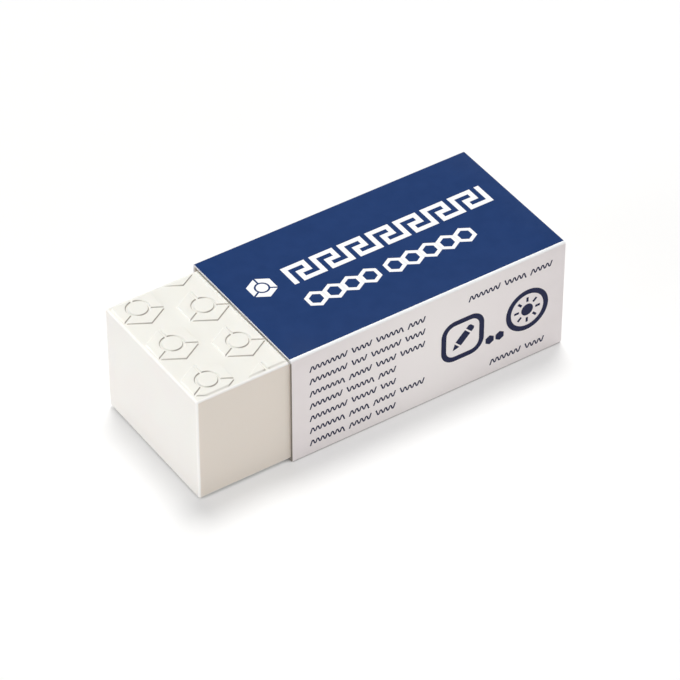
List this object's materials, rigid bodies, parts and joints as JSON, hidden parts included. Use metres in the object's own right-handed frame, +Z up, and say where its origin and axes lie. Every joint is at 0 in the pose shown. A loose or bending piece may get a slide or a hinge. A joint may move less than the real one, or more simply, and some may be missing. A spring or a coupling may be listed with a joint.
{
  "type": "vinyl eraser",
  "caption": "White vinyl eraser block with a raised pattern on top, in a folded card sleeve that slides along it and leaves one end bare.",
  "frame": {"origin": "under the middle of the whole object as it stands, on the surface that the sleeve rests on", "axes": "+X runs along the block, from its bare end to its sleeved end; +Z is up, out of the printed top; +Y runs across, to the side with the glued seam"},
  "size_m": [0.045, 0.0186, 0.0137],
  "materials": {
    "vinyl": "matte",
    "printed_card": "satin"
  },
  "bodies": {
    "sleeve": {"card_sleeve": "printed_card"},
    "block": {"eraser_block": "vinyl"}
  },
  "joints": [
    {"name": "block_slide", "type": "slide", "parent": "sleeve", "child": "block", "axis": [-1, 0, 0], "range_m": [-0.011, 0.022]}
  ]
}
